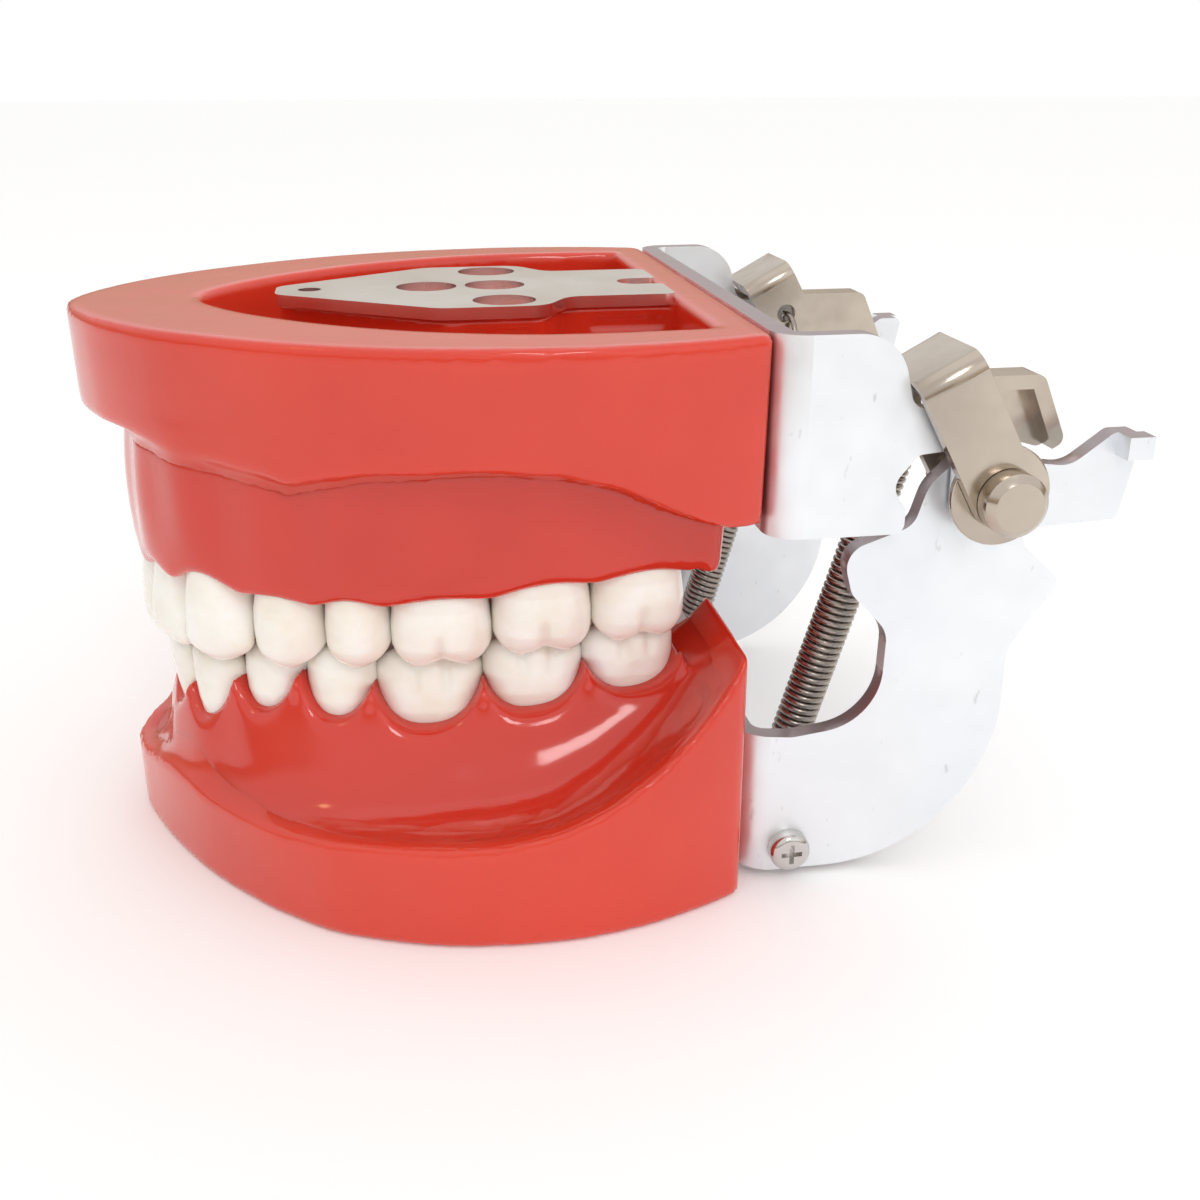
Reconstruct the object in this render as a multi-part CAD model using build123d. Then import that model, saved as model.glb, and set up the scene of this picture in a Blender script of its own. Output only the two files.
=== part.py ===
from build123d import *
import math
import os

# A dental typodont: two jaws with 32 separate teeth on a sheet-metal hinge frame.
# Millimetres. +X is the patient's left, the mouth looks toward -Y, +Z is up, and Z = 0
# is the flat underside of the lower base. Lengths called "behind" are measured backward
# from the rear face of the upper base.

# ---- driving dimensions ----
UPPER_BACK = 14.7            # Y of the upper base's rear face
LOWER_BACK = 13.3            # Y of the lower base's rear face
TOP_Z = 57.7                 # top face of the upper base
UPPER_SLAB_Z = 47.2          # underside of the upper base's slab
LOWER_SLAB_Z = 10.9          # top of the lower base's slab
GUM_TOP_Z = 46.0             # where the upper gingiva beds into the upper base
UPPER_NECK_Z = 33.0          # gingiva ridge that the upper crowns stand on
LOWER_NECK_Z = 18.2          # gingiva ridge that the lower crowns stand on
VAULT_Z = 42.5               # roof of the palate
GUM_BACK = 11.2              # Y where both gingivae end
ROOT_DEPTH = 5.4             # how far a tooth's peg goes into the gingiva

PIN_BEHIND, PIN_Z = 22.25, 42.1
PIN_Y = UPPER_BACK + PIN_BEHIND
PIN_R = 2.0
PIN_HEAD_R = 3.1
RUN_FIT = 0.05               # radial clearance on the hinge pins

SHEET = 2.0                  # aluminium of both frames
EAR_X = 32.0                 # outer face of the upper frame's ears
ARM_X = 29.6                 # outer face of the lower frame's arms
BEND_R = 3.2                 # outside bend radius of both frames

LEVER_SHEET = 1.4
LEVER_OUT_X = 34.4           # outer face of a lever's outer wall
LEVER_IN_X = 23.4            # inner face of a lever's inner wall
LEVER_W = 6.4                # width of a lever's strip
LEVER_REACH = 14.4           # hinge axis to the outside of a lever's web
LEVER_LEAN = 28.8            # degrees that the strip leans forward from vertical
HOOK_REACH = 8.7             # hinge axis to the spring hole in a lever

SPRING_X = 20.8
SPRING_R, SPRING_BORE_R = 2.2, 1.5
ANCHOR_Y, ANCHOR_Z = LOWER_BACK + 5.7, 3.4
ANCHOR_R = 1.25

PLATE_T = 1.2
POCKET_TOP_FLOOR = 50.0      # floor of the recess in the upper base's top face
POCKET_LOW_ROOF = 5.0        # roof of the recess in the lower base's underside
PLATE_HOLE_R = 3.2
PLATE_PITCH = 10.0           # centre hole to each side hole
PLATE_HOLES_Y = -7.4         # the row of three holes
PLATE_FRONT_HOLE_Y = -14.7
SCREW_R = 1.0                # tooth retaining screws

# Half outlines, front centre to rear corner, (x, y).
UPPER_HALF = [(9, -48.5), (17, -42.8), (22.5, -36.6), (28.3, -27.8), (32.4, -17.3),
              (34.1, -5.8), (34.1, 0.7), (33.0, 8.2), (31.0, UPPER_BACK)]
UPPER_TIP = (0, -51.3)
LOWER_HALF = [(8.3, -47.5), (17.8, -42.2), (25, -36.5), (30, -31.3), (33.4, -26.3), (36.8, -16.8),
              (37.8, -6.4), (36.8, 1.8), (34.6, 8.5), (32.4, LOWER_BACK)]
LOWER_TIP = (0, -50.1)
POCKET_HALF = [(8, -34.6), (16, -27.2), (22, -18.5), (25.6, -9), (26.6, -1), (26.2, 9.6)]
POCKET_TIP = (0, -38)

# Contacts between neighbouring teeth from the midline back, (x, y), in each arch.
UPPER_CONTACTS = [(0, -46.5), (8.5, -45.0), (15.1, -41.3), (19.3, -34.6), (21.8, -27.6),
                  (23.4, -21.1), (24.5, -10.9), (24.7, -0.7), (23.7, 9.1)]
LOWER_CONTACTS = [(0, -44.3), (5.5, -43.9), (11.1, -41.9), (16.2, -36.6), (19.75, -30.2),
                  (22.1, -23.0), (23.35, -11.9), (23.6, -1.4), (22.7, 8.6)]
# Cheek-to-tongue depth of each crown, and how far its outer face stands out of the contacts.
UPPER_DEPTH = [5.0, 4.6, 6.8, 8.8, 8.8, 10.8, 10.6, 9.6]
LOWER_DEPTH = [4.2, 4.4, 6.0, 7.4, 8.0, 10.0, 9.8, 9.2]
UPPER_PROUD = [1.2, 1.2, 1.9, 1.9, 1.8, 1.8, 1.7, 1.5]
LOWER_PROUD = [0.6, 0.6, 1.3, 1.5, 1.4, 1.2, 1.2, 1.0]
# Height of the bite at each tooth: it climbs toward the back.
UPPER_BITE_Z = [23.6, 23.9, 23.3, 24.2, 24.3, 25.0, 26.2, 27.4]
LOWER_BITE_Z = [22.8, 23.0, 23.8, 23.7, 24.1, 24.2, 25.0, 26.2]
FRONT_TEETH = 3              # of each half arch, with thin edges set out to the lips
# Degrees that each peg and retaining screw leans toward the tongue, so that the screw
# comes out in the recess of the base.
LEAN = [32, 30, 27, 19, 12, 0, 0, 0]
NEIGHBOUR_GAP = 0.04         # each crown's flank to the line it shares with its neighbour


def save(shape, name):
    shape.label = name
    export_step(shape, f"parts/{name}.step")


def mirrored_face(tip, half):
    left = [(-x, y) for x, y in reversed(half)]
    curve = Spline(*(left + [tip] + half))
    return make_face([curve, Line(half[-1], left[0])])


def rounded(points, radii):
    return make_face(FilletPolyline(*points, radius=radii, close=True))


def prism(face, z_low, z_high):
    return extrude(Pos(0, 0, z_low) * face, z_high - z_low)


def side_prism(face, x_low, x_high):
    """A face drawn as (y, z), made solid from x_low to x_high."""
    return extrude(Plane.YZ.offset(x_low) * face, x_high - x_low)


def side_curve_prism(points, closing, half_width):
    """A solid across the whole model, under or over a curve drawn as (y, z)."""
    curve = Spline(*points)
    edges = Polyline(points[-1], *closing, points[0])
    return side_prism(make_face([curve, edges]), -half_width, half_width)


def x_rod(radius, x_low, x_high, y, z):
    return Pos((x_low + x_high) / 2, y, z) * Rot(0, 90, 0) * Cylinder(radius, x_high - x_low)


def y_rod(radius, y_low, y_high, x, z):
    return Pos(x, (y_low + y_high) / 2, z) * Rot(90, 0, 0) * Cylinder(radius, y_high - y_low)


def x_mirror(shape):
    return mirror(shape, about=Plane.YZ)


def both_sides(shape):
    return [shape, x_mirror(shape)]


# ---- teeth ----
def tooth_places(contacts, depths, prouds):
    """Centre, tangent direction, width and depth of each tooth on the +X side."""
    places = []
    for index, depth in enumerate(depths):
        (x0, y0), (x1, y1) = contacts[index], contacts[index + 1]
        width = math.hypot(x1 - x0, y1 - y0)
        tangent = ((x1 - x0) / width, (y1 - y0) / width)
        inward = (-tangent[1], tangent[0])
        shift = depth / 2 - prouds[index]
        centre = ((x0 + x1) / 2 + inward[0] * shift, (y0 + y1) / 2 + inward[1] * shift)
        places.append((centre, tangent, width, depth))
    return places


def flank_line(contacts, index):
    """A contact point with the unit tangent and the outward normal between its two teeth."""
    x, y = contacts[index]
    before = contacts[index - 1] if index else (-contacts[1][0], contacts[1][1])
    after = contacts[min(index + 1, len(contacts) - 1)]
    run = math.hypot(after[0] - before[0], after[1] - before[1])
    tangent = ((after[0] - before[0]) / run, (after[1] - before[1]) / run)
    return (x, y), tangent, (tangent[1], -tangent[0])


def wedge(contacts, index):
    """The plan area that one crown may fill, between the lines through its two contacts."""
    corners = []
    for end, way in ((index, 1), (index + 1, -1)):
        (x, y), tangent, outward = flank_line(contacts, end)
        x, y = x + way * NEIGHBOUR_GAP * tangent[0], y + way * NEIGHBOUR_GAP * tangent[1]
        reach = (6, -12) if way > 0 else (-12, 6)
        corners += [(x + r * outward[0], y + r * outward[1]) for r in reach]
    return make_face(Polyline(*corners, close=True))


def crown(place, neck_z, bite_z, tip_share, tip_out):
    """A crown: narrow neck, full body at mid height, drawn in at the bite.

    tip_share is the depth left at the bite and tip_out moves the bite toward the lips."""
    centre, tangent, width, depth = place
    sections = [(0.0, 0.74, 0.78, 0.0), (0.45, 0.98, 1.0, 0.0), (1.0, 0.88, tip_share, tip_out)]
    faces = []
    for share, width_share, depth_share, out in sections:
        z = neck_z + (bite_z - neck_z) * share
        w, d = width * width_share, depth * depth_share
        origin = (centre[0] + tangent[1] * out, centre[1] - tangent[0] * out, z)
        plane = Plane(origin=origin, x_dir=(*tangent, 0), z_dir=(0, 0, 1))
        faces.append(plane * RectangleRounded(w, d, min(w, d) * 0.3))
    return loft(faces)


def leaning_rod(radius, start, end, foot, tangent, lean, way):
    """A cylinder along a tooth's leaning axis, between two distances from its neck."""
    inward = (-tangent[1], tangent[0])
    side, rise = math.sin(math.radians(lean)), math.cos(math.radians(lean))
    plane = Plane(origin=foot, z_dir=(inward[0] * side, inward[1] * side, way * rise))
    return plane * Pos(0, 0, (start + end) / 2) * Cylinder(radius, end - start)


def make_arch(contacts, depths, prouds, bites, neck_z, floor_z):
    """Teeth of one arch's +X side, each with its peg and its retaining screw."""
    teeth, pegs, screws = [], [], []
    way = 1 if floor_z > neck_z else -1
    for index, place in enumerate(tooth_places(contacts, depths, prouds)):
        centre, tangent, width, depth = place
        tip_share, tip_out = 0.72, 0.0
        if index < FRONT_TEETH:
            tip_share = 0.35
            tip_out = depth * (1 - tip_share) / 2 if way > 0 else 0.0
        body = crown(place, neck_z, bites[index], tip_share, tip_out)
        body &= prism(wedge(contacts, index), 10, 45)

        def rod(radius, start, end):
            return leaning_rod(radius, start, end, (*centre, neck_z), tangent, LEAN[index], way)

        peg = rod(min(width, depth) * 0.27, -0.8, ROOT_DEPTH)
        length = abs(floor_z - neck_z) / math.cos(math.radians(LEAN[index]))
        shank = rod(SCREW_R, 2.6, length)
        teeth.append(body + peg - shank)
        pegs.append(peg)
        screws.append(shank + rod(SCREW_R * 1.9, length, length + 1.2))
    return teeth, pegs, screws


def offset_curve(contacts, inward):
    """The contact line moved sideways: positive goes toward the tongue."""
    moved = []
    for index in range(1, len(contacts)):
        before = contacts[index - 1]
        after = contacts[min(index + 1, len(contacts) - 1)]
        run = math.hypot(after[0] - before[0], after[1] - before[1])
        tangent = ((after[0] - before[0]) / run, (after[1] - before[1]) / run)
        x, y = contacts[index]
        moved.append((x - tangent[1] * inward, y + tangent[0] * inward))
    tip = (0, contacts[0][1] + inward)
    return tip, moved


def arch_face(contacts, inward, back):
    tip, half = offset_curve(contacts, inward)
    half[-1] = (half[-1][0], back)
    return mirrored_face(tip, half)


# ---- bases ----
def plate_face():
    """The mounting plate: an arrow with a rounded tip, side wings and an open rear slot."""
    half = [(2.6, -30.4), (14.0, -14.2), (14.0, -3.6), (9.0, -0.8), (9.0, 10.6), (2.0, 10.6), (2.0, 6.0)]
    radii = [2.2, 3.6, 3.2, 2.6, 1.2, 0.6, 1.9]
    outline = half + [(-x, y) for x, y in reversed(half)]
    face = rounded(outline, radii + radii[::-1])
    holes = [(0, PLATE_HOLES_Y), (PLATE_PITCH, PLATE_HOLES_Y), (-PLATE_PITCH, PLATE_HOLES_Y),
             (0, PLATE_FRONT_HOLE_Y)]
    for x, y in holes:
        face -= Pos(x, y) * Circle(PLATE_HOLE_R)
    return face - Pos(0, -26.9) * Circle(1.2)


def pocket(z_low, z_high, island_low, island_high):
    """The recess round a plate, less the island that carries the plate."""
    room = prism(mirrored_face(POCKET_TIP, POCKET_HALF), z_low, z_high)
    room += Pos(0, 10.0, (z_low + z_high) / 2) * Box(22, 3.4, z_high - z_low)
    island = prism(rounded([(0, -29.5), (12.8, -13.4), (12.8, -4.4), (8.0, -1.6), (8.0, 12.6),
                            (-8.0, 12.6), (-8.0, -1.6), (-12.8, -4.4), (-12.8, -13.4)],
                           [1.5] * 9), island_low, island_high)
    return room - island


def make_upper_base():
    body = prism(mirrored_face(UPPER_TIP, UPPER_HALF), 39.4, TOP_Z)
    # The underside is flat in front, dips at the side frenum and drops to the heels.
    under = [(-60, UPPER_SLAB_Z), (-45, UPPER_SLAB_Z), (-36, 45.7), (-29.2, 44.6), (-22, 45.9),
             (-12, 46.4), (-5, 45.9), (0.5, 44.4), (5, 42.0), (11, 39.5), (16, 39.3)]
    body -= side_curve_prism(under, [(16, 30), (-60, 30)], 45)
    body -= pocket(POCKET_TOP_FLOOR, TOP_Z + 1, POCKET_TOP_FLOOR, TOP_Z + 0.3 - PLATE_T)
    return body


def make_lower_base():
    body = prism(mirrored_face(LOWER_TIP, LOWER_HALF), 0, 27.4)
    over = [(-60, LOWER_SLAB_Z), (-40, LOWER_SLAB_Z), (-20, LOWER_SLAB_Z), (-12, 11.2), (-6, 12.3),
            (-1, 14.3), (4, 17.3), (8, 20.6), (11.4, 24.4), (13.4, 27.4), (15, 31)]
    body -= side_curve_prism(over, [(15, 40), (-60, 40)], 45)
    tongue = arch_face(LOWER_CONTACTS, 11.5, 20)
    body -= prism(tongue, 18.0, 40)
    body -= prism(tongue, LOWER_SLAB_Z, 40) & (Pos(0, -26, 25) * Box(90, 68, 40))
    body -= prism(arch_face(LOWER_CONTACTS, -2.2, GUM_BACK - 1), LOWER_NECK_Z, 40)
    body -= pocket(-1, POCKET_LOW_ROOF, 0.2 + PLATE_T, POCKET_LOW_ROOF)
    return body


def frame_channel(outer_x, front_y, rear_y, z_low, z_high):
    """A plan-view channel: a plate across the base's rear face and a wall down each side."""
    outer = Pos(0, (front_y + rear_y) / 2) * Rectangle(2 * outer_x, rear_y - front_y)
    outer = fillet(outer.vertices().sort_by(Axis.Y)[:2], BEND_R)
    inner_y = front_y + SHEET
    inner = Pos(0, (inner_y + rear_y + 10) / 2) * Rectangle(2 * (outer_x - SHEET), rear_y + 10 - inner_y)
    inner = fillet(inner.vertices().sort_by(Axis.Y)[:2], BEND_R - SHEET)
    return prism(outer - inner, z_low, z_high)


def behind(points):
    """Side-view points, given as (behind the upper base's rear face, z), as (y, z)."""
    return [(UPPER_BACK + back, z) for back, z in points]


def make_upper_frame():
    outline = [(-1, 38.5, 0), (-1, TOP_Z, 0), (11.4, TOP_Z, 5.0), (13.2, 50.6, 1.6), (20.4, 50.6, 2.4),
               (24.8, 45.0, 2.0), (29.4, 44.4, 3.0), (33.6, 47.5, 1.2), (36.6, 47.5, 0.8),
               (35.0, 38.8, 0.6), (26.5, 38.4, 2.0),
               (23.8, 37.4, 1.5), (20.2, 37.6, 1.5), (18.4, 40.2, 1.5), (18.2, 46.6, 1.6),
               (14.0, 46.2, 1.2), (11.6, 43.2, 1.7), (13.2, 41.0, 0.8), (13.2, 38.5, 1.0)]
    points = behind([(back, z) for back, z, _ in outline])
    # A corner on the base's own face stays sharp; the tiny radius keeps the list uniform.
    side = side_prism(rounded(points, [max(r, 0.05) for _, _, r in outline]), -40, 40)
    frame = frame_channel(EAR_X, UPPER_BACK, UPPER_BACK + 36.6, 38, TOP_Z) & side
    lug = Pos(EAR_X + 1.1, UPPER_BACK + 35.3, 46.4) * Box(2.2, 2.6, 2.2)
    frame += both_sides(lug)
    for hole in both_sides(x_rod(PIN_R + RUN_FIT, EAR_X - 4, EAR_X + 1, PIN_Y, PIN_Z)):
        frame -= hole
    return frame


def make_lower_frame():
    outline = [(-2.4, 17.0, 0), (-2.4, 1.6, 0), (2.4, 0.7, 1.0), (26.5, 0.7, 18.0), (26.5, 24.5, 3.0),
                (31.4, 31.6, 1.2), (26.4, 36.2, 2.5), (28.0, 42.0, 4.6),
               (22.3, 47.9, 4.6), (16.4, 42.4, 4.2), (15.2, 38.4, 2.2), (8.2, 36.0, 2.4),
               (9.4, 31.6, 2.4), (13.4, 27.4, 3.2), (13.2, 17.4, 6.4), (4.2, 16.3, 3.0)]
    points = behind([(back, z) for back, z, _ in outline])
    side = side_prism(rounded(points, [max(r, 0.05) for _, _, r in outline]), -40, 40)
    frame = frame_channel(ARM_X, LOWER_BACK, UPPER_BACK + 32, 0, 50) & side
    for hole in both_sides(x_rod(PIN_R, ARM_X - 4, ARM_X + 1, PIN_Y, PIN_Z)):
        frame -= hole
    for hole in both_sides(x_rod(ANCHOR_R, ARM_X - 4, ARM_X + 1, ANCHOR_Y, ANCHOR_Z)):
        frame -= hole
    return frame


def frame_screw(x, z, face_y, tip_y):
    """A pan-head screw through a frame's rear plate, its head behind the plate."""
    shank = y_rod(1.4, tip_y, face_y + SHEET, x, z)
    head = y_rod(2.7, face_y + SHEET, face_y + SHEET + 1.8, x, z)
    head = fillet(head.edges().group_by(Axis.Y)[-1], 0.9)
    slot = Pos(x, face_y + SHEET + 1.6, z) * (Box(2.6, 1.4, 0.6) + Box(0.6, 1.4, 2.6))
    return shank + head - slot


# ---- hinge ----
def make_pin():
    """A headed hinge pin on the +X side, with a groove at its inner end for the clip."""
    pin = x_rod(PIN_R, LEVER_IN_X - 1.3, LEVER_OUT_X + 0.1, PIN_Y, PIN_Z)
    head = x_rod(PIN_HEAD_R, LEVER_OUT_X + 0.1, LEVER_OUT_X + 2.6, PIN_Y, PIN_Z)
    pin += chamfer(head.edges().group_by(Axis.X)[-1], 0.7)
    return pin - (clip_groove(PIN_R + 1) - clip_groove(PIN_R - 0.4))


def clip_groove(radius):
    return x_rod(radius, LEVER_IN_X - 0.9, LEVER_IN_X - 0.3, PIN_Y, PIN_Z)


def make_clip():
    """An E-clip: a flat ring, open toward the back, in the pin's groove."""
    ring = clip_groove(3.3) - clip_groove(PIN_R - 0.4)
    return ring - Pos(LEVER_IN_X, PIN_Y + 3, PIN_Z) * Box(3, 6, 2.4)


def make_washer():
    ring = x_rod(5.0, EAR_X + 0.15, EAR_X + 0.85, PIN_Y, PIN_Z)
    return ring - x_rod(PIN_R, EAR_X, EAR_X + 1, PIN_Y, PIN_Z)


def lever_point(along, across):
    """(y, z) at a distance up the leaning strip from the pin, and across it to the rear."""
    lean = math.radians(LEVER_LEAN)
    y = PIN_Y - along * math.sin(lean) + across * math.cos(lean)
    return y, PIN_Z + along * math.cos(lean) + across * math.sin(lean)


def make_lever():
    """A channel of folded sheet: two walls on the pin, a web over them, and a thumb tab."""
    half = LEVER_W / 2
    strip = make_face(Polyline(lever_point(0, -half), lever_point(LEVER_REACH, -half),
                               lever_point(LEVER_REACH, half), lever_point(0, half), close=True))
    strip += Pos(PIN_Y, PIN_Z) * Circle(half)
    whole = side_prism(strip, LEVER_IN_X, LEVER_OUT_X)
    top_edges = whole.edges().filter_by(lambda e: abs(e.length - LEVER_W) < 0.01)
    whole = fillet(top_edges.sort_by(Axis.X)[-1:] + top_edges.sort_by(Axis.X)[:1], 1.8)
    room = make_face(Polyline(lever_point(-9, -9), lever_point(LEVER_REACH - LEVER_SHEET, -9),
                              lever_point(LEVER_REACH - LEVER_SHEET, 9), lever_point(-9, 9), close=True))
    whole -= side_prism(room, LEVER_IN_X + LEVER_SHEET, LEVER_OUT_X - LEVER_SHEET)
    tab = rounded(behind([(18.6, 47.6), (18.6, 52.2), (28.4, 52.2), (31.4, 45.4), (29.6, 44.4)]),
                  [0.5, 1.5, 1.2, 1.0, 1.0])
    thumb = side_prism(tab, LEVER_IN_X, LEVER_IN_X + LEVER_SHEET + 2.2)
    hollow = make_face(Polyline(*behind([(16, 40), (16, 50.8), (27.4, 50.8), (31.6, 41.3)]), close=True))
    thumb -= side_prism(hollow, LEVER_IN_X + LEVER_SHEET, LEVER_IN_X + 9)
    whole += thumb
    hook_y, hook_z = lever_point(HOOK_REACH, 0)
    whole -= x_rod(1.2, LEVER_IN_X - 1, LEVER_IN_X + 3, hook_y, hook_z)
    return whole - x_rod(PIN_R + RUN_FIT, LEVER_IN_X - 1, LEVER_OUT_X + 1, PIN_Y, PIN_Z)


def make_spring():
    """A close-wound tension spring as a tube, from the anchor screw up to the lever."""
    hook_y, hook_z = lever_point(HOOK_REACH, 0)
    run = math.hypot(hook_y - ANCHOR_Y, hook_z - ANCHOR_Z)
    end_gap = 3.6
    plane = Plane(origin=(SPRING_X, ANCHOR_Y, ANCHOR_Z),
                  z_dir=(0, hook_y - ANCHOR_Y, hook_z - ANCHOR_Z))
    tube = Pos(0, 0, run / 2) * (Cylinder(SPRING_R, run - 2 * end_gap)
                                 - Cylinder(SPRING_BORE_R, run - 2 * end_gap))
    return plane * tube


def make_anchor():
    """The screw through an arm that the spring's lower eye hooks on."""
    shank = x_rod(ANCHOR_R, SPRING_X - 1.9, ARM_X, ANCHOR_Y, ANCHOR_Z)
    head = x_rod(2.15, ARM_X, ARM_X + 1.7, ANCHOR_Y, ANCHOR_Z)
    head = fillet(head.edges().group_by(Axis.X)[-1], 0.8)
    slot = Pos(ARM_X + 1.5, ANCHOR_Y, ANCHOR_Z) * (Box(1.2, 2.2, 0.5) + Box(1.2, 0.5, 2.2))
    return shank + head - slot


# ---- assembly ----
os.makedirs("parts", exist_ok=True)

upper_teeth, upper_pegs, upper_screws = make_arch(
    UPPER_CONTACTS, UPPER_DEPTH, UPPER_PROUD, UPPER_BITE_Z, UPPER_NECK_Z, POCKET_TOP_FLOOR)
lower_teeth, lower_pegs, lower_screws = make_arch(
    LOWER_CONTACTS, LOWER_DEPTH, LOWER_PROUD, LOWER_BITE_Z, LOWER_NECK_Z, POCKET_LOW_ROOF)

upper_screws = [s for screw in upper_screws for s in both_sides(screw)]
lower_screws = [s for screw in lower_screws for s in both_sides(screw)]
upper_pegs = [p for peg in upper_pegs for p in both_sides(peg)]
lower_pegs = [p for peg in lower_pegs for p in both_sides(peg)]

upper_frame_screws = [frame_screw(x, 44.6, UPPER_BACK, 8.4) for x in (-15, 15)]
lower_frame_screws = [frame_screw(x, 8.2, LOWER_BACK, 7.0) for x in (-15, 15)]

upper_gum_block = prism(arch_face(UPPER_CONTACTS, -3.2, GUM_BACK), UPPER_NECK_Z, GUM_TOP_Z)
lower_gum_block = prism(arch_face(LOWER_CONTACTS, -3.6, GUM_BACK), LOWER_SLAB_Z, LOWER_NECK_Z)

upper_gum = upper_gum_block - prism(arch_face(UPPER_CONTACTS, 11.8, 30), UPPER_NECK_Z - 1, VAULT_Z)
lower_gum = lower_gum_block - prism(arch_face(LOWER_CONTACTS, 11.5, 30), LOWER_SLAB_Z - 1, 30)
for tool in upper_pegs + upper_screws + upper_frame_screws:
    upper_gum -= tool
for tool in lower_pegs + lower_screws:
    lower_gum -= tool

upper_base = make_upper_base() - upper_gum_block
for tool in upper_screws + upper_frame_screws:
    upper_base -= tool
lower_base = make_lower_base() - lower_gum_block
for tool in lower_screws + lower_frame_screws:
    lower_base -= tool

upper_frame, lower_frame = make_upper_frame(), make_lower_frame()
for tool in upper_frame_screws:
    upper_frame -= tool
for tool in lower_frame_screws:
    lower_frame -= tool

save(upper_base, "upper_base")
save(lower_base, "lower_base")
save(upper_gum, "upper_gingiva")
save(lower_gum, "lower_gingiva")
save(upper_frame, "upper_frame")
save(lower_frame, "lower_frame")
save(prism(plate_face(), TOP_Z + 0.3 - PLATE_T, TOP_Z + 0.3), "upper_mount_plate")
save(prism(plate_face(), 0.2, 0.2 + PLATE_T), "lower_mount_plate")

# Teeth carry their FDI numbers: 1x and 4x are the patient's right, 2x and 3x the left.
for number, (upper_tooth, lower_tooth) in enumerate(zip(upper_teeth, lower_teeth), start=1):
    save(upper_tooth, f"tooth_2{number}")
    save(x_mirror(upper_tooth), f"tooth_1{number}")
    save(lower_tooth, f"tooth_3{number}")
    save(x_mirror(lower_tooth), f"tooth_4{number}")

save(Compound(children=upper_screws), "upper_tooth_screws")
save(Compound(children=lower_screws), "lower_tooth_screws")
save(Compound(children=upper_frame_screws), "upper_frame_screws")
save(Compound(children=lower_frame_screws), "lower_frame_screws")
save(Compound(children=both_sides(make_washer())), "hinge_washers")
save(Compound(children=both_sides(make_clip())), "hinge_pin_clips")
save(Compound(children=both_sides(make_anchor())), "spring_anchor_screws")

for name, shape in (("hinge_pin", make_pin()), ("lever", make_lever()), ("spring", make_spring())):
    save(shape, f"{name}_left")
    save(x_mirror(shape), f"{name}_right")
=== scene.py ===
import math
from types import SimpleNamespace

import bmesh
import bpy
import numpy as np
import openvdb
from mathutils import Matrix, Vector


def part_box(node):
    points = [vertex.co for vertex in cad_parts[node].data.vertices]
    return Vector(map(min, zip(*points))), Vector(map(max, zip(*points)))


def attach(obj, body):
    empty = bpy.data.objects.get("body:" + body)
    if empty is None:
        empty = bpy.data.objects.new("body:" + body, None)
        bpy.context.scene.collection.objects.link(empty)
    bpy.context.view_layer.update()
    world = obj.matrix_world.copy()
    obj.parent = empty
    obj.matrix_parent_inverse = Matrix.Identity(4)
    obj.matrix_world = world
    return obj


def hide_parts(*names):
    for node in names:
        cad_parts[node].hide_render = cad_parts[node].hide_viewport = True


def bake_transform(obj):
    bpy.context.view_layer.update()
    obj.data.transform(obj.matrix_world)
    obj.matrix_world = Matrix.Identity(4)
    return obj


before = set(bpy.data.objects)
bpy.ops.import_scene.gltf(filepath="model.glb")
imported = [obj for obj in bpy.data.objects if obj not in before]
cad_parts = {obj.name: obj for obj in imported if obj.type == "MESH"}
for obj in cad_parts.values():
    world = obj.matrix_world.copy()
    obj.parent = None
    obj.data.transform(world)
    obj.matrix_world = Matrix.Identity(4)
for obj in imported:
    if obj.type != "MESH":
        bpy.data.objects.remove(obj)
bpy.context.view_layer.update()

# Shapes are worked out in millimetres in the row frame and turned into metres at the end.
# The jaws and teeth are fields: functions of x, y and z that are negative inside a shape and
# about the distance to it outside, meshed where they cross zero. A factor just under 1 on part
# of a field keeps its slope near 1 where the surface leans.
MM = 0.001
LOWER, UPPER = "lower_jaw", "upper_jaw"
TEETH = 8                    # in half an arch

UPPER_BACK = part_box("upper_base")[1][1] / MM
TOP_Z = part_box("upper_base")[1][2] / MM
LOWER_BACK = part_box("lower_base")[1][1] / MM
GUM_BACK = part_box("upper_gingiva")[1][1] / MM
ISLAND_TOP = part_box("upper_mount_plate")[0][2] / MM
LOW_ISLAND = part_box("lower_mount_plate")[1][2] / MM
POCKET_TOP_FLOOR, POCKET_LOW_ROOF = 50.0, 5.0

# Plan outlines as (x, y) on the +X side, from the front's midline back, mirrored to -X.
UPPER_OUTLINE = [(0, -51.3), (9, -48.5), (17, -42.8), (22.5, -36.6), (28.3, -27.8), (32.4, -17.3),
                 (34.1, -5.8), (34.1, 0.7), (33.0, 8.2), (31.0, UPPER_BACK)]
LOWER_OUTLINE = [(0, -50.1), (8.3, -47.5), (17.8, -42.2), (25, -36.5), (30, -31.3), (33.4, -26.3),
                 (36.8, -16.8), (37.8, -6.4), (36.8, 1.8), (34.6, 8.5), (32.4, LOWER_BACK)]
POCKET_OUTLINE = [(0, -38), (8, -34.6), (16, -27.2), (22, -18.5), (25.6, -9), (26.6, -1), (26.2, 9.6)]
POCKET_BACK = 10.4
ISLAND = [(0, -29.5), (12.8, -13.4), (12.8, -4.4), (8.0, -1.6), (8.0, 13)]

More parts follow.
